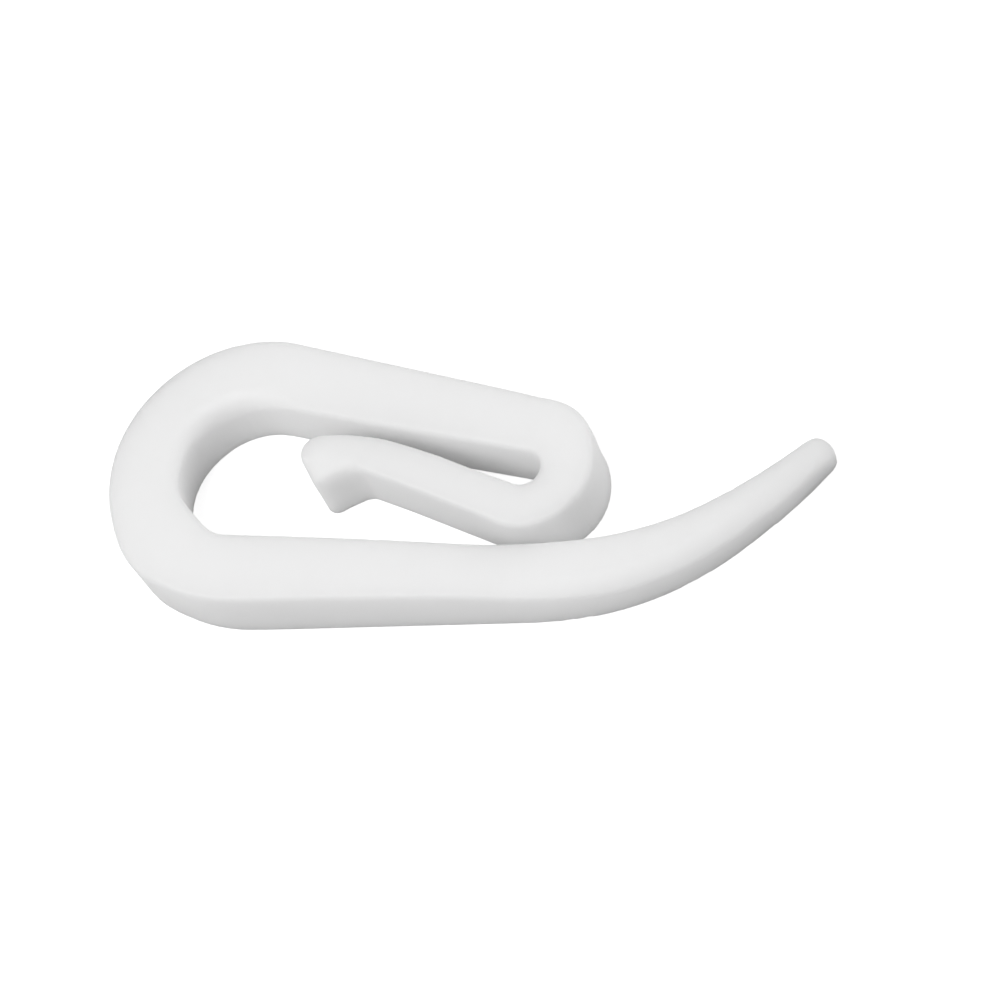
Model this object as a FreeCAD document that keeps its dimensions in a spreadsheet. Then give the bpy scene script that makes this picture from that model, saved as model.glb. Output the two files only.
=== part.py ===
import FreeCAD, Part
import math
import os

import Sketcher
from FreeCAD import Vector

# A one-piece plastic curtain hook, lying flat on its back face.
# +X runs along the straight lower arm towards the tail, +Y to the side where the spring arm lies, and
# +Z out of the front face. The outlines are drawn round the centre of the loop, and the finished hook
# is then placed with the middle of its length and height over the origin, its back face at Z = 0.
# The strip that forms the hook is drawn as two outlines that meet on a seam line below the loop: the
# lower arm with its rising tail, which gets thinner towards the tip, and the loop with the spring arm,
# which turns back on itself and ends in a barbed tongue. The seam doesn't show on the finished hook.

# Driving dimensions in millimetres and degrees, each with what it sets
DIMENSIONS = [
    ("thickness", 2.75, "front face to back face, loop and spring arm"),
    ("edge_radius", 0.22, "rounding of every front and back edge"),
    ("loop_radius", 5.77, "outer radius of the loop"),
    ("heel_radius", 6.4, "outer radius where the loop runs into the lower arm"),
    ("hole_radius", 2.95, "radius of the space inside the loop"),
    ("loop_width", 3.0, "width of the strip at the far left of the loop"),
    ("heel_width", 3.16, "width of the strip below the loop"),
    ("flare_radius", 0.95, "soft rounding of the loop's inner edge, widest at flare_heading"),
    ("flare_heading", 118.0, "direction from the middle of the loop to where the flare is widest"),
    ("flare_offset", 0.6, "how far the flare's centre lies from the middle, so that it fades out"),
    ("flare_sweep", 200.0, "turn of the flare round its centre, degrees"),
    ("lower_arm_reach", 12.95, "loop centre to the end of the straight back edge, along X"),
    ("lower_arm_slope", 3.7, "fall of the lower arm's inner edge, degrees"),
    ("turn_radius", 2.75, "outer radius of the U-turn's lower half"),
    ("shoulder_radius", 3.2, "outer radius of the U-turn's upper half"),
    ("turn_setback", 0.55, "centre of the lower half to the end of the straight back edge, along X"),
    ("turn_gap", 0.57, "clearance between the U-turn and the lower arm"),
    ("slot_radius", 0.71, "radius of the closed end of the slot"),
    ("slot_setback", 0.2, "centre of the slot's closed end to the centre of the lower half, along X"),
    ("slot_drop", 0.05, "the same along Y"),
    ("crest_reach", 4.05, "loop centre to the centre of the tongue's crest, along X"),
    ("crest_radius", 7.0, "radius of the crest"),
    ("crest_gap", 0.42, "narrowest part of the slot, over the crest"),
    ("tongue_width", 1.8, "width of the strip at the crest"),
    ("barb_length", 1.5, "crest centre to the blunt nose of the barb, along X"),
    ("barb_nose_radius", 0.85, "radius of the nose"),
    ("barb_front_slope", 57.0, "steepness of the barb's front, degrees"),
    ("barb_depth", 2.41, "top of the crest to the lowest point of the barb"),
    ("barb_tip_radius", 0.5, "radius of that point"),
    ("barb_back_slope", 32.0, "steepness of the barb's catching side, degrees"),
    ("notch_radius", 0.65, "radius of the hollow behind the barb"),
    ("tail_bend_radius", 12.0, "outer bend of the tail"),
    ("tail_bend_angle", 40.0, "turn of that bend, degrees"),
    ("tail_width", 2.05, "width of the tail at the end of that bend"),
    ("neck_setback", 3.35, "start of the inner bend to the end of the straight back edge, along X"),
    ("neck_radius", 24.0, "first, gentle inner bend"),
    ("neck_angle", 13.4, "turn of that bend, degrees"),
    ("tail_reach", 10.68, "end of the straight back edge to the tip's centre, along X"),
    ("tail_rise", 6.8, "back edge to the tip's centre, along Y"),
    ("tip_radius", 0.67, "radius of the rounded tip, seen from the front"),
    ("tip_thickness", 1.2, "thickness at the end of the tip"),
    ("taper_start", 0.8, "end of the heel's bend to where the lower arm starts to get thinner"),
    ("taper_ease", 6.1, "from there to where the front face's two directions would meet"),
    ("cut_margin", 2.0, "room that a cutting profile has beyond the material"),
]

document = FreeCAD.newDocument("CurtainHook")
sheet = document.addObject("Spreadsheet::Sheet", "Sizes")
for row, (name, value, note) in enumerate(DIMENSIONS, start=1):
    sheet.set(f"A{row}", name)
    sheet.set(f"B{row}", str(value))
    sheet.set(f"C{row}", note)
    sheet.setAlias(f"B{row}", name)
document.recompute()


def size(name):
    return float(sheet.get(name))


# How a constraint names the points of an edge, the axes of the sketch and its origin
START, END, CENTRE = 1, 2, 3
X_AXIS, Y_AXIS = -1, -2
ORIGIN = (X_AXIS, START)

QUARTER_TURN = 90
HALF_TURN = 180

# Points and directions on the outlines. A heading is an angle in degrees, 0 along +X and 90 along +Y.
# Each outline is drawn anticlockwise, so the material lies on the left of the direction of travel.

def direction(heading):
    return Vector(math.cos(math.radians(heading)), math.sin(math.radians(heading)), 0)


def left_of(heading):
    return direction(heading + QUARTER_TURN)


def point_on_bend(centre, radius, heading):
    """The point of a bend where it has this heading; a right bend has a negative radius."""
    return centre - left_of(heading) * radius


def on_line(point, heading, x=None, y=None):
    """The point of the line through point, along heading, that has this x or y."""
    along = direction(heading)
    if x is not None:
        return point + along * ((x - point.x) / along.x)
    return point + along * ((y - point.y) / along.y)


def crossing(point, heading, other_point, other_heading):
    """The point where two lines cross."""
    across = left_of(other_heading)
    distance = (other_point - point).dot(across) / direction(heading).dot(across)
    return point + direction(heading) * distance


def heading_of(line):
    return math.degrees(math.atan2(line.y, line.x))


def tangent_heading(start_centre, start_radius, end_centre, end_radius):
    """Heading of the line that leaves one circle smoothly and runs smoothly onto another. A radius is
    positive where its circle lies on the left of the line, and negative where it lies on the right."""
    span = end_centre - start_centre
    return heading_of(span) - math.degrees(math.asin((end_radius - start_radius) / span.Length))


def bend_through(start, heading, end):
    """Radius of the bend that leaves start along heading and passes through end."""
    gap = end - start
    return gap.dot(gap) / (2 * gap.dot(left_of(heading)))


def reach_radius(start, heading, centre, radius):
    """Radius of the bend that leaves start along heading and runs smoothly into a circle, whose own
    radius is positive where it lies on the left of the bend, and negative where it lies on the right."""
    gap = start - centre
    return (radius ** 2 - gap.dot(gap)) / (2 * (gap.dot(left_of(heading)) + radius))


def touching_point(centre, radius, bend_centre, bend_radius):
    """Where that bend runs into the circle."""
    return centre + (centre - bend_centre) * (radius / (bend_radius - radius))


# Drawing in a sketch

class Outline:
    """A closed outline in one sketch, drawn edge by edge, with its sizes bound to the sheet."""

    def __init__(self, body, name, plane_role):
        self.sketch = body.newObject("Sketcher::SketchObject", name)
        planes = [item for item in body.Origin.OriginFeatures if item.Role == plane_role]
        self.sketch.AttachmentSupport = [(planes[0], "")]
        self.sketch.MapMode = "FlatFace"
        self.ends = []

    def line(self, start, end):
        index = self.sketch.addGeometry(Part.LineSegment(start, end), False)
        self.ends.append((index, START, END))
        return index

    def bend(self, centre, start, end, clockwise=False):
        """An arc round centre from start to end."""
        first, last = (end, start) if clockwise else (start, end)
        circle = Part.Circle(centre, Vector(0, 0, 1), (start - centre).Length)
        angles = [math.atan2(point.y - centre.y, point.x - centre.x) for point in (first, last)]
        if angles[1] < angles[0]:
            angles[1] += 2 * math.pi
        index = self.sketch.addGeometry(Part.ArcOfCircle(circle, angles[0], angles[1]), False)
        self.ends.append((index, END, START) if clockwise else (index, START, END))
        return index

    def guide_circle(self, centre, radius):
        return self.sketch.addGeometry(Part.Circle(centre, Vector(0, 0, 1), radius), True)

    def guide_line(self, start, end):
        return self.sketch.addGeometry(Part.LineSegment(start, end), True)

    def join(self, corners):
        """Join each edge to the next, smoothly except after the edges named as corners."""
        for this, following in zip(self.ends, self.ends[1:] + self.ends[:1]):
            kind = "Coincident" if this[0] in corners else "Tangent"
            self.sketch.addConstraint(
                Sketcher.Constraint(kind, this[0], this[2], following[0], following[1])
            )

    def rule(self, kind, *references):
        self.sketch.addConstraint(Sketcher.Constraint(kind, *references))

    def bind(self, name, kind, references, *terms):
        """A dimension of the sketch that is the sum of terms: names in the sheet, "-name" or numbers."""
        value = sum(term_value(term) for term in terms)
        unit = "1 mm"
        if kind == "Angle":
            value = math.radians(value)
            unit = "1 deg"
        index = self.sketch.addConstraint(Sketcher.Constraint(kind, *references, value))
        self.sketch.renameConstraint(index, name)
        total = " + ".join(term_text(term) for term in terms)
        self.sketch.setExpression(f"Constraints.{name}", f"({total}) * {unit}")


def term_value(term):
    if isinstance(term, str):
        return -size(term[1:]) if term.startswith("-") else size(term)
    return term


def term_text(term):
    if isinstance(term, str):
        return f"(-Sizes.{term[1:]})" if term.startswith("-") else f"Sizes.{term}"
    return str(term)


# What the two outlines share

heel_centre = Vector(size("heel_radius") - size("loop_radius"), 0, 0)
hole_centre = Vector(
    size("loop_width") + size("hole_radius") - size("loop_radius"),
    size("heel_width") + size("hole_radius") - size("heel_radius"),
    0,
)
inner_heading = HALF_TURN - size("lower_arm_slope")
hole_foot = point_on_bend(hole_centre, -size("hole_radius"), inner_heading)
seam_foot = Vector(heel_centre.x + size("taper_start"), -size("heel_radius"), 0)
seam_head = on_line(hole_foot, inner_heading, x=seam_foot.x)
tip = Vector(size("lower_arm_reach") + size("tail_reach"), size("tail_rise") - size("heel_radius"), 0)


def bind_hole(outline, arc):
    """The space inside the loop, placed by the widths of the strip round it."""
    outline.bind("hole_round", "Radius", (arc,), "hole_radius")
    outline.bind("hole_x", "DistanceX", ORIGIN + (arc, CENTRE), "loop_width", "hole_radius", "-loop_radius")
    outline.bind("hole_y", "DistanceY", ORIGIN + (arc, CENTRE), "heel_width", "hole_radius", "-heel_radius")


# The lower arm and the tail

def draw_lower_arm(body):
    outline = Outline(body, "LowerArmOutline", "XY_Plane")

    # Back edge, from the loop to the tip
    back_end = Vector(size("lower_arm_reach"), -size("heel_radius"), 0)
    bend_centre = back_end + left_of(0) * size("tail_bend_radius")
    bend_heading = size("tail_bend_angle")
    bend_end = point_on_bend(bend_centre, size("tail_bend_radius"), bend_heading)
    back_reach = reach_radius(bend_end, bend_heading, tip, size("tip_radius"))
    back_reach_centre = bend_end + left_of(bend_heading) * back_reach
    tip_back = touching_point(tip, size("tip_radius"), back_reach_centre, back_reach)

    # Inner edge, from the loop to the tip
    neck_start = on_line(hole_foot, inner_heading, x=back_end.x - size("neck_setback"))
    neck_heading = -size("lower_arm_slope")
    neck_centre = neck_start + left_of(neck_heading) * size("neck_radius")
    neck_heading += size("neck_angle")
    neck_end = point_on_bend(neck_centre, size("neck_radius"), neck_heading)
    inner_end = bend_end + left_of(bend_heading) * size("tail_width")
    inner_radius = bend_through(neck_end, neck_heading, inner_end)
    inner_centre = neck_end + left_of(neck_heading) * inner_radius
    inner_end_heading = 2 * heading_of(inner_end - neck_end) - neck_heading
    inner_reach = reach_radius(inner_end, inner_end_heading, tip, -size("tip_radius"))
    inner_reach_centre = inner_end + left_of(inner_end_heading) * inner_reach
    tip_inner = touching_point(tip, -size("tip_radius"), inner_reach_centre, inner_reach)

    back = outline.line(seam_foot, back_end)
    bend = outline.bend(bend_centre, back_end, bend_end)
    outline.bend(back_reach_centre, bend_end, tip_back, clockwise=back_reach < 0)
    tip_arc = outline.bend(tip, tip_back, tip_inner)
    outline.bend(inner_reach_centre, tip_inner, inner_end, clockwise=inner_reach > 0)
    inner_bend = outline.bend(inner_centre, inner_end, neck_end, clockwise=inner_radius > 0)
    neck = outline.bend(neck_centre, neck_end, neck_start, clockwise=True)
    inner = outline.line(neck_start, seam_head)
    seam = outline.line(seam_head, seam_foot)
    hole = outline.guide_circle(hole_centre, size("hole_radius"))
    width = outline.guide_line(bend_end, inner_end)
    outline.join(corners=[inner, seam])

    outline.rule("Horizontal", back)
    outline.rule("Vertical", seam)
    outline.rule("Tangent", inner, hole)
    outline.rule("Coincident", width, START, bend, END)
    outline.rule("Coincident", width, END, inner_bend, END)
    outline.rule("PointOnObject", bend, CENTRE, width)
    outline.bind("seam_x", "DistanceX", ORIGIN + (back, START), "heel_radius", "-loop_radius", "taper_start")
    outline.bind("back_y", "DistanceY", ORIGIN + (back, START), "-heel_radius")
    outline.bind("back_reach", "DistanceX", ORIGIN + (back, END), "lower_arm_reach")
    outline.bind("bend_radius", "Radius", (bend,), "tail_bend_radius")
    outline.bind("bend_turn", "Angle", (bend,), "tail_bend_angle")
    outline.bind("width_across", "Distance", (width,), "tail_width")
    outline.bind("tip_x", "DistanceX", (back, END, tip_arc, CENTRE), "tail_reach")
    outline.bind("tip_y", "DistanceY", (back, END, tip_arc, CENTRE), "tail_rise")
    outline.bind("tip_round", "Radius", (tip_arc,), "tip_radius")
    outline.bind("neck_bend_radius", "Radius", (neck,), "neck_radius")
    outline.bind("neck_bend_turn", "Angle", (neck,), "neck_angle")
    outline.bind("neck_x", "DistanceX", (inner, START, back, END), "neck_setback")
    outline.bind("inner_slope", "Angle", (inner,), HALF_TURN, "-lower_arm_slope")
    bind_hole(outline, hole)
    return outline.sketch


# The loop, the spring arm, the U-turn and the barbed tongue

def draw_spring_arm(body):
    outline = Outline(body, "SpringArmOutline", "XY_Plane")
    loop_centre = Vector(0, 0, 0)
    heel_end = Vector(heel_centre.x, -size("heel_radius"), 0)
    loop_left = Vector(-size("loop_radius"), 0, 0)

    # Outer edge: the U-turn clears the lower arm, and the arm's outer edge runs from it onto the loop
    turn_line = hole_foot - left_of(inner_heading) * (size("turn_radius") + size("turn_gap"))
    turn_x = size("lower_arm_reach") - size("turn_setback")
    turn_centre = on_line(turn_line, inner_heading, x=turn_x)
    turn_end = turn_centre + Vector(size("turn_radius"), 0, 0)
    shoulder = turn_end - Vector(size("shoulder_radius"), 0, 0)
    outer_heading = tangent_heading(shoulder, size("shoulder_radius"), loop_centre, size("loop_radius"))
    shoulder_top = point_on_bend(shoulder, size("shoulder_radius"), outer_heading)
    loop_top = point_on_bend(loop_centre, size("loop_radius"), outer_heading)

    # Inner edge, from the space inside the loop to the closed end of the slot
    slot_centre = turn_centre + Vector(-size("slot_setback"), -size("slot_drop"), 0)
    arm_heading = tangent_heading(hole_centre, -size("hole_radius"), slot_centre, -size("slot_radius"))
    hole_head = point_on_bend(hole_centre, -size("hole_radius"), arm_heading)
    slot_head = point_on_bend(slot_centre, -size("slot_radius"), arm_heading)

    # Upper edge of the tongue: its crest leaves a narrow gap under the arm
    crest_line = hole_head - left_of(arm_heading) * (size("crest_radius") + size("crest_gap"))
    crest_centre = on_line(crest_line, arm_heading, x=size("crest_reach"))
    upper_heading = tangent_heading(slot_centre, -size("slot_radius"), crest_centre, size("crest_radius"))
    slot_foot = point_on_bend(slot_centre, -size("slot_radius"), upper_heading)
    crest_start = point_on_bend(crest_centre, size("crest_radius"), upper_heading)

    # Barb: blunt nose, straight front and a rounded point
    nose_x = crest_centre.x - size("barb_length") + size("barb_nose_radius")
    nose_fall = size("crest_radius") - size("barb_nose_radius")
    nose_y = crest_centre.y + math.sqrt(nose_fall ** 2 - (nose_x - crest_centre.x) ** 2)
    nose_centre = Vector(nose_x, nose_y, 0)
    crest_end = crest_centre + (nose_centre - crest_centre).normalize() * size("crest_radius")
    front_heading = -size("barb_front_slope")
    nose_foot = point_on_bend(nose_centre, size("barb_nose_radius"), front_heading)
    point_y = crest_centre.y + size("crest_radius") - size("barb_depth") + size("barb_tip_radius")
    point_line = nose_foot + left_of(front_heading) * size("barb_tip_radius")
    point_centre = on_line(point_line, front_heading, y=point_y)
    point_start = point_on_bend(point_centre, size("barb_tip_radius"), front_heading)
    point_end = point_on_bend(point_centre, size("barb_tip_radius"), size("barb_back_slope"))

    # Lower edge of the tongue, and the notch where the barb's catching side meets it
    lower_offset = size("crest_radius") - size("tongue_width")
    lower_heading = tangent_heading(crest_centre, -lower_offset, turn_centre, size("turn_radius"))
    turn_foot = point_on_bend(turn_centre, size("turn_radius"), lower_heading)
    notch_back = point_end - left_of(size("barb_back_slope")) * size("notch_radius")
    notch_front = turn_foot - left_of(lower_heading) * size("notch_radius")
    notch_centre = crossing(notch_back, size("barb_back_slope"), notch_front, lower_heading)
    notch_start = point_on_bend(notch_centre, -size("notch_radius"), size("barb_back_slope"))
    notch_end = point_on_bend(notch_centre, -size("notch_radius"), lower_heading)

    foot = outline.line(heel_end, seam_foot)
    seam = outline.line(seam_foot, seam_head)
    inner = outline.line(seam_head, hole_foot)
    hole = outline.bend(hole_centre, hole_foot, hole_head, clockwise=True)
    arm_inner = outline.line(hole_head, slot_head)
    slot = outline.bend(slot_centre, slot_head, slot_foot, clockwise=True)
    outline.line(slot_foot, crest_start)
    crest = outline.bend(crest_centre, crest_start, crest_end)
    nose = outline.bend(nose_centre, crest_end, nose_foot)
    barb_front = outline.line(nose_foot, point_start)
    barb_point = outline.bend(point_centre, point_start, point_end)
    barb_back = outline.line(point_end, notch_start)
    notch = outline.bend(notch_centre, notch_start, notch_end, clockwise=True)
    tongue_lower = outline.line(notch_end, turn_foot)
    turn = outline.bend(turn_centre, turn_foot, turn_end)
    upper_turn = outline.bend(shoulder, turn_end, shoulder_top)
    outline.line(shoulder_top, loop_top)
    loop = outline.bend(loop_centre, loop_top, loop_left)
    heel = outline.bend(heel_centre, loop_left, heel_end)
    outline.join(corners=[foot, seam])

    outline.rule("Horizontal", foot)
    outline.rule("Vertical", seam)
    outline.rule("Coincident", loop, CENTRE, *ORIGIN)
    outline.rule("PointOnObject", heel, CENTRE, X_AXIS)
    outline.rule("Horizontal", turn, CENTRE, upper_turn, CENTRE)
    outline.bind("seam_x", "DistanceX", (foot, START, foot, END), "taper_start")
    outline.bind("loop_round", "Radius", (loop,), "loop_radius")
    outline.bind("heel_round", "Radius", (heel,), "heel_radius")
    bind_hole(outline, hole)
    outline.bind("inner_slope", "Angle", (inner,), HALF_TURN, "-lower_arm_slope")
    outline.bind("turn_round", "Radius", (turn,), "turn_radius")
    outline.bind("shoulder_round", "Radius", (upper_turn,), "shoulder_radius")
    outline.bind("turn_x", "DistanceX", ORIGIN + (turn, CENTRE), "lower_arm_reach", "-turn_setback")
    outline.bind("turn_clear", "Distance", (turn, CENTRE, inner), "turn_radius", "turn_gap")
    outline.bind("slot_round", "Radius", (slot,), "slot_radius")
    outline.bind("slot_x", "DistanceX", (slot, CENTRE, turn, CENTRE), "slot_setback")
    outline.bind("slot_y", "DistanceY", (slot, CENTRE, turn, CENTRE), "slot_drop")
    outline.bind("crest_round", "Radius", (crest,), "crest_radius")
    outline.bind("crest_x", "DistanceX", ORIGIN + (crest, CENTRE), "crest_reach")
    outline.bind("crest_clear", "Distance", (crest, CENTRE, arm_inner), "crest_radius", "crest_gap")
    outline.bind("nose_round", "Radius", (nose,), "barb_nose_radius")
    outline.bind("nose_x", "DistanceX", (nose, CENTRE, crest, CENTRE), "barb_length", "-barb_nose_radius")
    outline.bind("front_fall", "Angle", (barb_front,), "-barb_front_slope")
    outline.bind("point_round", "Radius", (barb_point,), "barb_tip_radius")
    point_rise = ("crest_radius", "barb_tip_radius", "-barb_depth")
    outline.bind("point_y", "DistanceY", (crest, CENTRE, barb_point, CENTRE), *point_rise)
    outline.bind("back_rise", "Angle", (barb_back,), "barb_back_slope")
    outline.bind("notch_round", "Radius", (notch,), "notch_radius")
    outline.bind("lower_clear", "Distance", (crest, CENTRE, tongue_lower), "crest_radius", "-tongue_width")
    return outline.sketch


# The taper: a profile above the front face, seen from the -Y side, that is cut away in +Y and -Y

def draw_taper(body):
    outline = Outline(body, "TaperProfile", "XZ_Plane")
    start = Vector(seam_foot.x, size("thickness"), 0)
    corner = start + Vector(size("taper_ease"), 0, 0)
    tip_end = Vector(tip.x + size("tip_radius"), size("tip_thickness"), 0)
    fall = -heading_of(tip_end - corner)
    radius = size("taper_ease") / math.tan(math.radians(fall / 2))
    centre = start - Vector(0, radius, 0)
    knee = point_on_bend(centre, -radius, -fall)
    far_low = on_line(corner, -fall, x=tip_end.x + size("cut_margin"))
    far_high = Vector(far_low.x, size("thickness") + size("cut_margin"), 0)
    near_high = Vector(start.x, far_high.y, 0)

    curve = outline.bend(centre, start, knee, clockwise=True)
    slope = outline.line(knee, far_low)
    far = outline.line(far_low, far_high)
    top = outline.line(far_high, near_high)
    near = outline.line(near_high, start)
    ease = outline.guide_line(start, corner)
    end = outline.guide_line(tip_end, Vector(tip_end.x, 0, 0))
    outline.join(corners=[slope, far, top, near])

    outline.rule("Vertical", far)
    outline.rule("Horizontal", top)
    outline.rule("Vertical", near)
    outline.rule("Horizontal", ease)
    outline.rule("Tangent", ease, START, curve, END)
    outline.rule("PointOnObject", ease, END, slope)
    outline.rule("Vertical", end)
    outline.rule("PointOnObject", end, START, slope)
    outline.rule("PointOnObject", end, END, X_AXIS)
    outline.bind("start_x", "DistanceX", ORIGIN + (curve, END), "heel_radius", "-loop_radius", "taper_start")
    outline.bind("start_z", "DistanceY", ORIGIN + (curve, END), "thickness")
    outline.bind("ease_length", "DistanceX", (ease, START, ease, END), "taper_ease")
    outline.bind("end_x", "DistanceX", ORIGIN + (end, END), "lower_arm_reach", "tail_reach", "tip_radius")
    outline.bind("end_z", "DistanceY", (end, END, end, START), "tip_thickness")
    outline.bind("far_x", "DistanceX", (end, START, far, START), "cut_margin")
    outline.bind("top_z", "DistanceY", ORIGIN + (top, START), "thickness", "cut_margin")
    return outline.sketch


# The flare: a soft rounding whose circle touches the loop's inner wall only on the upper left, so that
# it fades out to both sides

def draw_flare(body):
    """The flare's profile, in a plane through its upright axis; the sketch's own origin is on that axis."""
    outline = Outline(body, "FlareProfile", "XZ_Plane")
    flare_centre = hole_centre + direction(size("flare_heading")) * size("flare_offset")
    outline.sketch.AttachmentOffset = FreeCAD.Placement(
        Vector(flare_centre.x, 0, -flare_centre.y),
        FreeCAD.Rotation(Vector(0, 1, 0), size("flare_heading")),
    )
    offset_x = "Sizes.flare_offset * cos(Sizes.flare_heading * 1 deg)"
    offset_y = "Sizes.flare_offset * sin(Sizes.flare_heading * 1 deg)"
    hole_x = "Sizes.loop_width + Sizes.hole_radius - Sizes.loop_radius"
    hole_y = "Sizes.heel_width + Sizes.hole_radius - Sizes.heel_radius"
    outline.sketch.setExpression("AttachmentOffset.Base.x", f"({hole_x} + {offset_x}) * 1 mm")
    outline.sketch.setExpression("AttachmentOffset.Base.z", f"-({hole_y} + {offset_y}) * 1 mm")
    outline.sketch.setExpression("AttachmentOffset.Rotation.Angle", "Sizes.flare_heading * 1 deg")

    wall_x = size("hole_radius") - size("flare_offset")
    foot = Vector(wall_x, size("thickness") - size("flare_radius"), 0)
    centre = foot + Vector(size("flare_radius"), 0, 0)
    head = Vector(centre.x, size("thickness"), 0)
    top = head + Vector(0, size("cut_margin"), 0)
    axis_top = Vector(0, top.y, 0)
    axis_foot = Vector(0, foot.y, 0)

    curve = outline.bend(centre, foot, head, clockwise=True)
    side = outline.line(head, top)
    roof = outline.line(top, axis_top)
    axis = outline.line(axis_top, axis_foot)
    floor = outline.line(axis_foot, foot)
    outline.join(corners=[curve, side, roof, axis, floor])
    outline.rule("Vertical", side)
    outline.rule("Horizontal", roof)
    outline.rule("PointOnObject", axis, START, Y_AXIS)
    outline.rule("PointOnObject", axis, END, Y_AXIS)
    outline.rule("Horizontal", floor)
    outline.rule("Horizontal", curve, CENTRE, curve, END)
    outline.rule("Vertical", curve, CENTRE, curve, START)
    outline.bind("curve_round", "Radius", (curve,), "flare_radius")
    outline.bind("curve_top", "DistanceY", ORIGIN + (curve, START), "thickness")
    outline.bind("side_height", "DistanceY", (side, START, side, END), "cut_margin")
    outline.bind("wall_x", "DistanceX", ORIGIN + (curve, END), "hole_radius", "-flare_offset")
    return outline.sketch


# The hook

def is_upright(edge):
    """Whether an edge stands in a wall, between the back face and the front face."""
    rise = edge.Vertexes[-1].Point - edge.Vertexes[0].Point
    return abs(rise.z) > Vector(rise.x, rise.y).Length


def built(feature):
    """The shape of a feature, once it is known to be sound."""
    document.recompute()
    if "Invalid" in feature.State or feature.Shape.isNull():
        raise RuntimeError(f"{feature.Name} failed: {feature.State}")
    return feature.Shape


def make_hook():
    body = document.addObject("PartDesign::Body", "hook")
    body.Label = "hook"

    lower_arm = body.newObject("PartDesign::Pad", "LowerArm")
    lower_arm.Profile = draw_lower_arm(body)
    lower_arm.setExpression("Length", "Sizes.thickness * 1 mm")
    even_volume = built(lower_arm).Volume

    taper = body.newObject("PartDesign::Pocket", "Taper")
    taper.Profile = draw_taper(body)
    taper.SideType = "Symmetric"
    taper.Type = "ThroughAll"
    if built(taper).Volume >= even_volume:
        raise RuntimeError("the taper cut nothing away")

    spring_arm = body.newObject("PartDesign::Pad", "SpringArm")
    spring_arm.Profile = draw_spring_arm(body)
    spring_arm.setExpression("Length", "Sizes.thickness * 1 mm")
    spring_arm.Refine = True
    edges = [
        f"Edge{number}"
        for number, edge in enumerate(built(spring_arm).Edges, start=1)
        if not is_upright(edge)
    ]

    rounding = body.newObject("PartDesign::Fillet", "EdgeRounding")
    rounding.Base = (spring_arm, edges)
    rounding.setExpression("Radius", "Sizes.edge_radius * 1 mm")
    rounded_volume = built(rounding).Volume

    flare = body.newObject("PartDesign::Groove", "LoopFlare")
    flare.Profile = draw_flare(body)
    flare.ReferenceAxis = (flare.Profile[0], ["V_Axis"])
    flare.Midplane = True
    flare.setExpression("Angle", "Sizes.flare_sweep * 1 deg")
    if built(flare).Volume >= rounded_volume:
        raise RuntimeError("the flare cut nothing away")
    body.Tip = flare
    return body


hook = make_hook()
middle_x = (tip.x + size("tip_radius") - size("loop_radius")) / 2
middle_y = (size("loop_radius") - size("heel_radius")) / 2
hook.Placement = FreeCAD.Placement(Vector(-middle_x, -middle_y, 0), FreeCAD.Rotation())
document.recompute()

for item in document.Objects:
    if "Invalid" in item.State or "Error" in item.State:
        raise RuntimeError(f"{item.Name} failed: {item.State}")
if hook.Shape.isNull() or not hook.Shape.isValid() or len(hook.Shape.Solids) != 1:
    raise RuntimeError("the hook is not one valid solid")

os.makedirs("parts", exist_ok=True)
hook.Shape.exportStep("parts/hook.step")
box = hook.Shape.optimalBoundingBox()
print(f"hook {box.XLength:.2f} x {box.YLength:.2f} x {box.ZLength:.2f} mm, {hook.Shape.Volume:.1f} mm3")
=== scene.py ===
import math

import bmesh
import bpy
import numpy as np
from mathutils import Matrix, Vector


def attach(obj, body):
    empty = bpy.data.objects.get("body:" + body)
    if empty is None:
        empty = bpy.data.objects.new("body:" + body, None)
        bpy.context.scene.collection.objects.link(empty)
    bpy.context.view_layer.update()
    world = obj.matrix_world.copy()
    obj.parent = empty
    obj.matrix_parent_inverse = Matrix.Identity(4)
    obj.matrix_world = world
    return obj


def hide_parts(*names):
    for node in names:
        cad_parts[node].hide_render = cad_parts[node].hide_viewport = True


MM = 0.001

# The photograph's view, found from the outline of the hook's front face
CAMERA_AZIMUTH = math.radians(35.5)
CAMERA_ELEVATION = math.radians(55.0)
CAMERA_ROLL = math.radians(-32.5)
CAMERA_DISTANCE = 150 * MM
CAMERA_NEAR = 0.01
CAMERA_FAR = 20
PIXELS_PER_METRE = 24600
IMAGE_WIDTH = 1002
SENSOR_WIDTH = 36.0
LOOP_CENTRE_PIXEL = (251.0, 477.9)
LOOP_CENTRE = Vector((-9.265, 0.315, 1.375)) * MM

# Floor: its width, its grey, and the emission that lifts it to white where the camera or a
# reflection sees it
FLOOR_WIDTH = 4.0
FLOOR_GREY = 0.6
FLOOR_LIFT = 0.72

# Light that comes from all round
WORLD_LIGHT = 0.3

# The sizes and places from here on are in millimetres, and places are as in the frame: X along
# the lower arm, Y across it, Z from the back to the front. A pair of limits gives where a change
# starts and where it is full.

# Faces that the soft forms are made with, and the distance within which points of the CAD mesh join
FACE_SIZE = 0.09
JOIN_DISTANCE = 0.001

# Tail: its outer bend and its tip
BEND_CENTRE = (3.685, 5.915)
BEND_RADIUS = 12.0
BEND_END_X = 11.4
TIP = (14.365, 0.715)
TIP_AXIS = (0.695, 0.719)
TIP_RADIUS = 0.67
TIP_EDGE_RADIUS = 12.53

# Crown: how the tail's front face falls away, as shares of its height, to its outer edge and tip
CROWN_X = (1.0, 7.0)
CROWN_WIDTH = 0.9
CROWN_POWER = 1.6
CROWN_DROP = 0.18
EDGE_ROUND = 0.15
TIP_DROP = 0.5
TIP_DROP_LIMITS = (-0.5 * TIP_RADIUS, TIP_RADIUS)

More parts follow.
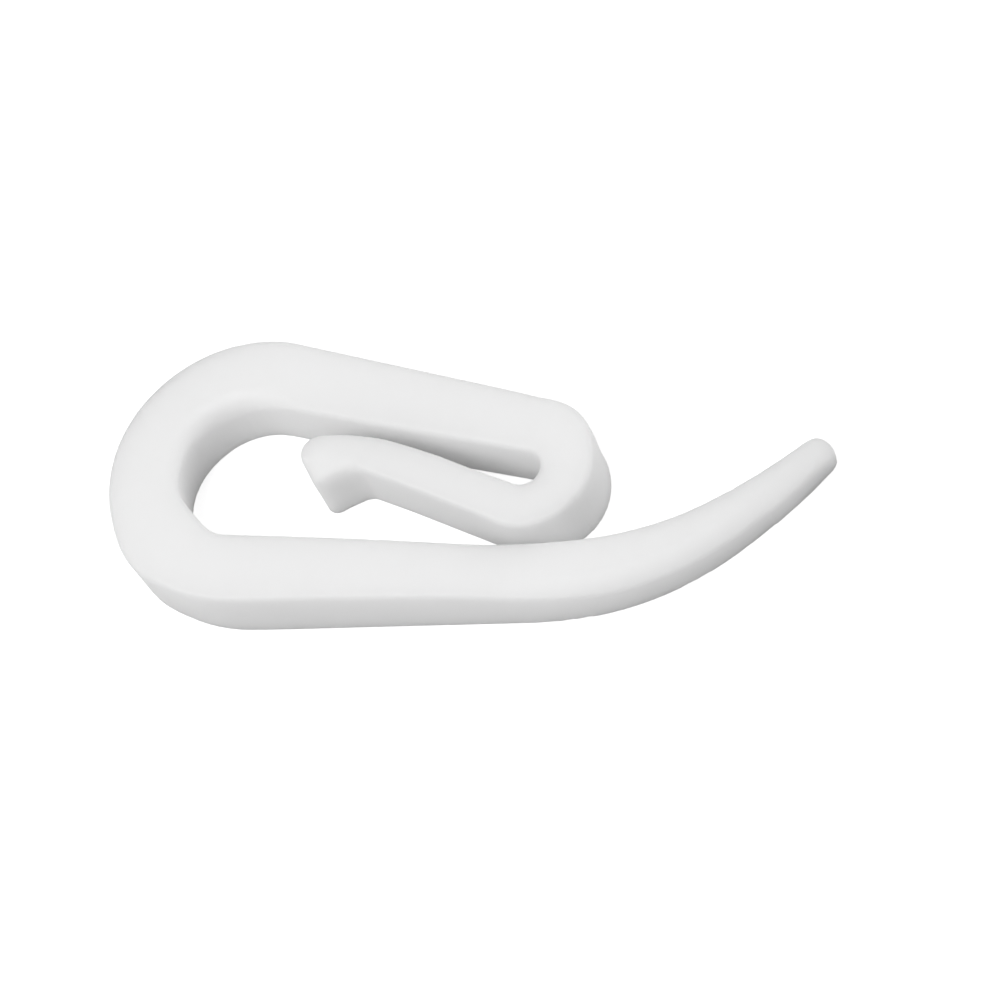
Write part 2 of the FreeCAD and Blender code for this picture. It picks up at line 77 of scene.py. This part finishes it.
# Lean of the tip's end face
TIP_LEAN = 0.14
LEAN_LIMITS = (-1.5, 0.3)

# Upper arm: its inner edge, and the extent of its outer edge, in depths below the inner edge and in X
ARM_EDGE_START = (-8.423, 2.9)
ARM_HEADING = math.radians(-12.97)
ARM_TOP_DEPTH = (-1.0, -2.0)
ARM_TOP_LEFT = (-10.0, -8.0)
ARM_TOP_RIGHT = (4.0, 2.0)

# Slot under the upper arm
SLOT_DEPTH = 0.25
SLOT_REACH = (0.9, 0.6)
SLOT_LEFT = (-8.0, -7.0)
SLOT_RIGHT = (5.0, 4.5)

# Tongue: how far its crest stays lower under the slot, and the extent of its crest and lower edge
CREST_DROP = 0.13
CREST_TOP = (0.1, 0.35)
CREST_FOOT = (1.5, 0.5)
CREST_LEFT = -7.5
CREST_RIGHT = (-0.8, -4.0)
TONGUE_DEPTH = (0.8, 1.2)
TONGUE_LEFT = (-4.0, -2.5)
TONGUE_RIGHT = (2.5, 1.5)
TONGUE_BOTTOM_Y = -3.5

# Barb: the middle of its rounded front edge, and its point, which sits a little to the left
BARB_MIDDLE = (-5.3, -0.55)
BARB_REACH = 1.5
BARB_SOFT_SHARE = (0, 0.3)
BARB_SOFT_Z = (0.3, 1.6)
BARB_POINT = (-5.5, -0.75)
BARB_POINT_REACH = 1.2
BARB_POINT_SHIFT = (-0.10, 0.05)

# Softening of the barb's edge, with a touch of it on the tail's tip
SOFTENING_STEPS = 250
TIP_SOFT_REACH = 1.5
TIP_SOFT_SHARE = 0.07

# Walls: how far they stand inside the CAD walls, where the tail is, and what counts as facing in Y
SLIMMING = 0.05
TAIL_OUTSIDE_SLIMMING = 0.03
TAIL_INSIDE_SLIMMING = 0.06
TONGUE_SLIMMING = 0.05
TAIL_OUTSIDE_X = (3.0, 5.0)
TAIL_OUTSIDE_TOP_Y = -2
TAIL_INSIDE_X = (7.5, 11.0)
FACING = (0, 0.3)

# Places where the walls stand in further, or out where the amount is negative: middle, reach, amount
WALL_PLACES = (
    ((-12.6, 4.2), 4.0, 0.06),
    ((-13.3, -4.2), 2.5, -0.13),
    ((-10.0, -5.9), 3.0, 0.04),
    ((-6.1, -0.5), 1.0, -0.08),
)

# Draft of the walls: the left end of the loop's hole narrows to the front, the turn widens to it
HOLE_END = (-12.0, -0.6)
HOLE_END_REACH = 3.0
HOLE_BACK_AMOUNT = 0.24
HOLE_DRAFT = 0.17
HOLE_CORNER = (-11.0, -2.2)
HOLE_CORNER_REACH = 1.7
HOLE_CORNER_AMOUNT = -0.24
HOLE_CORNER_Z = (0.8, 2.2)
TURN_CORNER = (5.1, 2.2)
TURN_REACH = 2.2
TURN_FRONT_AMOUNT = -0.13
TURN_FRONT_Z = (0.8, 1.8)

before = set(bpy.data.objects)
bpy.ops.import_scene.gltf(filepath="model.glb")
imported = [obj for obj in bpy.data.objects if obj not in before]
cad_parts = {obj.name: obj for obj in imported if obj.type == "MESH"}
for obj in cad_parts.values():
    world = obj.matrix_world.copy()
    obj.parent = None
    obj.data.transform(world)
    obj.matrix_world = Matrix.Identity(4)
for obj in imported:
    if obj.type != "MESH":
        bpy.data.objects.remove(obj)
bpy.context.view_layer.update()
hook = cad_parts["hook"]


def ramp(values, start, full):
    """0 at start and 1 at full, with a straight run between, and level outside them."""
    return np.clip((values - start) / (full - start), 0, 1)


def near(points, place, reach):
    """1 at a place, falling softly to 0 at its reach."""
    distance = np.hypot(points[:, 0] - place[0], points[:, 1] - place[1])
    return (1 - np.clip(distance / reach, 0, 1) ** 2) ** 2


def depth_below_arm(points):
    """Distance below the upper arm's inner edge, negative inside the arm."""
    from_start = points[:, :2] - ARM_EDGE_START
    return from_start[:, 0] * math.sin(ARM_HEADING) - from_start[:, 1] * math.cos(ARM_HEADING)


def vertex_values(mesh, name):
    """One row of three values for each vertex."""
    values = np.empty(3 * len(mesh.vertices))
    mesh.vertices.foreach_get(name, values)
    return values.reshape(-1, 3)


def apply_modifiers(piece):
    depsgraph = bpy.context.evaluated_depsgraph_get()
    mesh = bpy.data.meshes.new_from_object(piece.evaluated_get(depsgraph))
    piece.modifiers.clear()
    piece.data = mesh


def even_copy(source):
    """A copy of the hook in millimetres, with small even faces that can take the soft forms."""
    mesh = source.data.copy()
    mesh.transform(Matrix.Scale(1 / MM, 4))
    form = bmesh.new()
    form.from_mesh(mesh)
    bmesh.ops.remove_doubles(form, verts=form.verts, dist=JOIN_DISTANCE)
    form.to_mesh(mesh)
    form.free()
    piece = bpy.data.objects.new("soft_hook", mesh)
    bpy.context.scene.collection.objects.link(piece)
    remesh = piece.modifiers.new("even_faces", "REMESH")
    remesh.mode = "VOXEL"
    remesh.voxel_size = FACE_SIZE
    remesh.use_smooth_shade = True
    apply_modifiers(piece)
    return piece


def slim_walls(points, normals):
    """Move the side walls along their normals, most of them inwards."""
    x, y, z = points.T
    depth = depth_below_arm(points)
    faces_up = ramp(normals[:, 1], *FACING)
    faces_down = ramp(-normals[:, 1], *FACING)
    arm_top = ramp(depth, *ARM_TOP_DEPTH) * ramp(x, *ARM_TOP_LEFT) * ramp(x, *ARM_TOP_RIGHT)
    slot = ramp(np.abs(depth - SLOT_DEPTH), *SLOT_REACH) * ramp(x, *SLOT_LEFT) * ramp(x, *SLOT_RIGHT)
    tail_outside = ramp(x, *TAIL_OUTSIDE_X) * (y < TAIL_OUTSIDE_TOP_Y) * faces_down
    tail_inside = ramp(x, *TAIL_INSIDE_X) * faces_up
    tongue = ramp(depth, *TONGUE_DEPTH) * ramp(x, *TONGUE_LEFT) * ramp(x, *TONGUE_RIGHT)
    tongue *= (y > TONGUE_BOTTOM_Y) * faces_down
    amount = SLIMMING * (1 - np.maximum(arm_top, slot))
    amount += TAIL_OUTSIDE_SLIMMING * tail_outside
    amount += TAIL_INSIDE_SLIMMING * tail_inside
    amount += TONGUE_SLIMMING * tongue
    for place, reach, place_amount in WALL_PLACES:
        amount += place_amount * near(points, place, reach)
    amount += (HOLE_BACK_AMOUNT - HOLE_DRAFT * z) * near(points, HOLE_END, HOLE_END_REACH)
    hole_corner = near(points, HOLE_CORNER, HOLE_CORNER_REACH) * ramp(z, *HOLE_CORNER_Z)
    amount += HOLE_CORNER_AMOUNT * hole_corner
    amount += TURN_FRONT_AMOUNT * near(points, TURN_CORNER, TURN_REACH) * ramp(z, *TURN_FRONT_Z)
    points[:, :2] -= amount[:, None] * normals[:, :2]


def crown_tail(points):
    """Lower the tail's front face softly towards its outer edge and its tip, and lean the tip."""
    x, y = points[:, 0], points[:, 1]
    edge_radius = BEND_RADIUS + (TIP_EDGE_RADIUS - BEND_RADIUS) * ramp(x, BEND_END_X, TIP[0]) ** 2
    inward = edge_radius - SLIMMING - np.hypot(x - BEND_CENTRE[0], y - BEND_CENTRE[1])
    edge_fall = ramp(inward, CROWN_WIDTH, EDGE_ROUND) ** CROWN_POWER * ramp(x, *CROWN_X)
    past_tip = (x - TIP[0]) * TIP_AXIS[0] + (y - TIP[1]) * TIP_AXIS[1]
    tip_fall = ramp(past_tip, *TIP_DROP_LIMITS) ** 2
    points[:, 2] *= (1 - CROWN_DROP * edge_fall) * (1 - TIP_DROP * tip_fall)
    to_inside = (y - TIP[1]) * TIP_AXIS[0] - (x - TIP[0]) * TIP_AXIS[1]
    lean = TIP_LEAN * ramp(past_tip, *LEAN_LIMITS) * to_inside / TIP_RADIUS
    points[:, :2] += lean[:, None] * TIP_AXIS


def lower_crest(points):
    """Widen the slot over the tongue's crest."""
    x = points[:, 0]
    depth = depth_below_arm(points)
    share = ramp(depth, *CREST_TOP) * ramp(depth, *CREST_FOOT) * ramp(x, *CREST_RIGHT) * (x > CREST_LEFT)
    across = (math.sin(ARM_HEADING), -math.cos(ARM_HEADING))
    points[:, :2] += CREST_DROP * share[:, None] * across


def shift_barb_point(points):
    share = near(points, BARB_POINT, BARB_POINT_REACH)
    points[:, :2] += share[:, None] * BARB_POINT_SHIFT


def soften_ends(piece, points):
    """Round the front edge of the barb's catching side, and the edges of the tail's tip a little."""
    weights = ramp(near(points, BARB_MIDDLE, BARB_REACH), *BARB_SOFT_SHARE)
    weights *= ramp(points[:, 2], *BARB_SOFT_Z)
    weights = np.maximum(weights, TIP_SOFT_SHARE * near(points, TIP, TIP_SOFT_REACH))
    group = piece.vertex_groups.new(name="soft_ends")
    for index in np.flatnonzero(weights):
        group.add([int(index)], float(weights[index]), "REPLACE")
    soften = piece.modifiers.new("soften_ends", "SMOOTH")
    soften.vertex_group = group.name
    soften.iterations = SOFTENING_STEPS
    apply_modifiers(piece)
    piece.vertex_groups.clear()


def noise(nodes, link, place, scale, detail):
    """A soft random pattern, fixed to the object."""
    pattern = nodes.new("ShaderNodeTexNoise")
    pattern.inputs["Scale"].default_value = scale
    pattern.inputs["Detail"].default_value = detail
    link(place.outputs["Object"], pattern.inputs["Vector"])
    return pattern.outputs["Fac"]


def bump(nodes, link, height, strength, distance):
    """Relief from a pattern."""
    relief = nodes.new("ShaderNodeBump")
    relief.inputs["Strength"].default_value = strength
    relief.inputs["Distance"].default_value = distance
    link(height, relief.inputs["Height"])
    return relief


def nylon():
    """Satin white moulded nylon: slightly translucent, with a fine mould texture and soft flow marks."""
    material = bpy.data.materials.new("nylon")
    material.use_nodes = True
    nodes = material.node_tree.nodes
    link = material.node_tree.links.new
    shader = nodes["Principled BSDF"]
    shader.inputs["IOR"].default_value = 1.53
    shader.inputs["Subsurface Weight"].default_value = 1.0
    shader.inputs["Subsurface Radius"].default_value = (1.0, 1.0, 1.0)
    shader.inputs["Subsurface Scale"].default_value = 1.8 * MM
    place = nodes.new("ShaderNodeTexCoord")

    # Colour: very faint clouds from the flow of the plastic
    tint = nodes.new("ShaderNodeValToRGB")
    darker, lighter = tint.color_ramp.elements
    darker.position = 0.3
    darker.color = (0.91, 0.91, 0.91, 1)
    lighter.position = 0.7
    lighter.color = (0.93, 0.93, 0.93, 1)
    link(noise(nodes, link, place, scale=220, detail=3), tint.inputs["Fac"])
    link(tint.outputs["Color"], shader.inputs["Base Color"])

    # Gloss: patchy, as handling leaves it
    gloss = nodes.new("ShaderNodeMapRange")
    gloss.inputs["To Min"].default_value = 0.5
    gloss.inputs["To Max"].default_value = 0.62
    link(noise(nodes, link, place, scale=900, detail=4), gloss.inputs["Value"])
    link(gloss.outputs["Result"], shader.inputs["Roughness"])

    # Relief: soft waviness with the grain of the mould on it
    waves = bump(nodes, link, noise(nodes, link, place, scale=450, detail=2), 0.35, 0.03 * MM)
    grain = bump(nodes, link, noise(nodes, link, place, scale=7000, detail=2), 0.25, 0.004 * MM)
    link(waves.outputs["Normal"], grain.inputs["Normal"])
    link(grain.outputs["Normal"], shader.inputs["Normal"])
    return material


def make_soft_hook():
    """The hook with its soft forms: crowned tail, drafted walls, wide slot and rounded barb."""
    piece = even_copy(hook)
    points = vertex_values(piece.data, "co")
    slim_walls(points, vertex_values(piece.data, "normal"))
    crown_tail(points)
    lower_crest(points)
    shift_barb_point(points)
    piece.data.vertices.foreach_set("co", points.ravel())
    soften_ends(piece, points)
    piece.data.transform(Matrix.Scale(MM, 4))
    piece.data.materials.clear()
    piece.data.materials.append(nylon())
    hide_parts("hook")
    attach(piece, "root")


def white_floor():
    """A white sheet that stays white to the camera and still takes the hook's shadow."""
    material = bpy.data.materials.new("white_floor")
    material.use_nodes = True
    nodes = material.node_tree.nodes
    link = material.node_tree.links.new
    shader = nodes["Principled BSDF"]
    shader.inputs["Base Color"].default_value = (FLOOR_GREY, FLOOR_GREY, FLOOR_GREY, 1)
    shader.inputs["Roughness"].default_value = 0.9
    shader.inputs["Specular IOR Level"].default_value = 0.0
    shader.inputs["Emission Color"].default_value = (1, 1, 1, 1)
    path = nodes.new("ShaderNodeLightPath")
    seen = path.outputs["Is Camera Ray"]
    for ray in ("Is Glossy Ray", "Is Transmission Ray"):
        either = nodes.new("ShaderNodeMath")
        either.operation = "MAXIMUM"
        link(seen, either.inputs[0])
        link(path.outputs[ray], either.inputs[1])
        seen = either.outputs["Value"]
    lift = nodes.new("ShaderNodeMath")
    lift.operation = "MULTIPLY"
    lift.inputs[1].default_value = FLOOR_LIFT
    link(seen, lift.inputs[0])
    link(lift.outputs["Value"], shader.inputs["Emission Strength"])
    return material


def make_floor():
    bpy.ops.mesh.primitive_plane_add(size=FLOOR_WIDTH, location=(0, 0, 0))
    floor = bpy.context.object
    floor.name = "floor"
    floor.data.materials.append(white_floor())


def soft_lamp(name, azimuth, elevation, distance, width, power):
    """A square soft box that looks at the origin; azimuth 0 is on the -Y side."""
    around = Matrix.Rotation(math.radians(azimuth), 4, "Z")
    turn = around @ Matrix.Rotation(math.radians(90 - elevation), 4, "X")
    data = bpy.data.lights.new(name, "AREA")
    data.shape = "SQUARE"
    data.size = width
    data.energy = power
    lamp = bpy.data.objects.new(name, data)
    lamp.matrix_world = turn @ Matrix.Translation((0, 0, distance))
    bpy.context.scene.collection.objects.link(lamp)


def make_lights():
    world = bpy.data.worlds.new("studio")
    world.use_nodes = True
    background = world.node_tree.nodes["Background"]
    background.inputs["Color"].default_value = (1, 1, 1, 1)
    background.inputs["Strength"].default_value = WORLD_LIGHT
    bpy.context.scene.world = world
    soft_lamp("key", azimuth=-38, elevation=62, distance=0.5, width=0.35, power=1.6)
    soft_lamp("right", azimuth=135, elevation=22, distance=0.5, width=0.3, power=0.9)


def make_camera():
    turn = (
        Matrix.Rotation(CAMERA_AZIMUTH, 4, "Z")
        @ Matrix.Rotation(math.radians(90) - CAMERA_ELEVATION, 4, "X")
        @ Matrix.Rotation(CAMERA_ROLL, 4, "Z")
    )
    middle = IMAGE_WIDTH / 2
    right = (LOOP_CENTRE_PIXEL[0] - middle) / PIXELS_PER_METRE
    up = (middle - LOOP_CENTRE_PIXEL[1]) / PIXELS_PER_METRE
    data = bpy.data.cameras.new("camera")
    data.sensor_width = SENSOR_WIDTH
    data.lens = SENSOR_WIDTH * PIXELS_PER_METRE * CAMERA_DISTANCE / IMAGE_WIDTH
    data.clip_start = CAMERA_NEAR
    data.clip_end = CAMERA_FAR
    camera = bpy.data.objects.new("camera", data)
    offset = turn @ Vector((-right, -up, CAMERA_DISTANCE))
    camera.matrix_world = Matrix.Translation(LOOP_CENTRE + offset) @ turn
    bpy.context.scene.collection.objects.link(camera)
    bpy.context.scene.camera = camera


make_soft_hook()
make_floor()
make_lights()
make_camera()
bpy.context.scene.view_settings.view_transform = "Standard"
